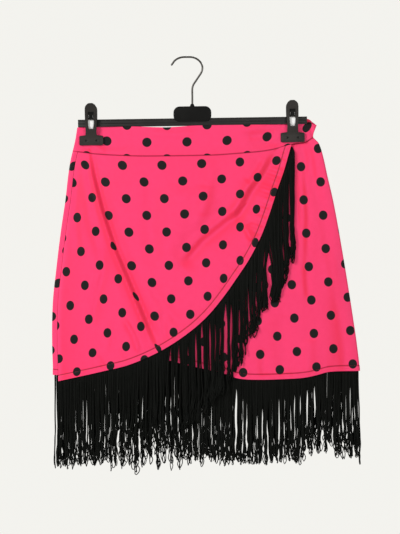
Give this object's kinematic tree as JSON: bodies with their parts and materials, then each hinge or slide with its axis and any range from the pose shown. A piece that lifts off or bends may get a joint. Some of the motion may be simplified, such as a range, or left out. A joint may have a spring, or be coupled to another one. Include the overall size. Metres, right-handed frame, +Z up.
{
  "type": "fringe mini skirt on a clip hanger",
  "caption": "Wrap-front mini skirt in dotted cloth with long fringe at its curved edge and hem, held by the waistband on a hanger with two clips and a wire hook.",
  "frame": {"origin": "inside top of the hook, where it rests on the rail that holds the hanger", "axes": "+Z up, the front of the skirt faces -Y, +X to the right as seen from the front"},
  "size_m": [0.4829, 0.0318, 0.6485],
  "materials": {
    "dotted_cloth": "smooth crepe with a soft sheen, bright pink with black dots printed on the outer side, pale on the inner side",
    "black_fringe": "fine twisted rayon yarn, black, soft sheen",
    "black_plastic": "moulded black plastic, satin",
    "hook_wire": "plain drawn steel wire",
    "spring_steel": "bright flat spring steel"
  },
  "bodies": {
    "root": {"waistband_front": "dotted_cloth", "waistband_back": "dotted_cloth", "over_panel": "dotted_cloth", "under_panel": "dotted_cloth", "back_panel": "dotted_cloth", "fringe_over": "black_fringe", "fringe_under": "black_fringe", "fringe_back": "black_fringe", "hanger_bar": "black_plastic", "hanger_hook": "hook_wire", "clip_left_front": "black_plastic", "clip_left_back": "black_plastic", "clip_left_spring": "spring_steel", "clip_right_front": "black_plastic", "clip_right_back": "black_plastic", "clip_right_spring": "spring_steel"}
  },
  "joints": []
}
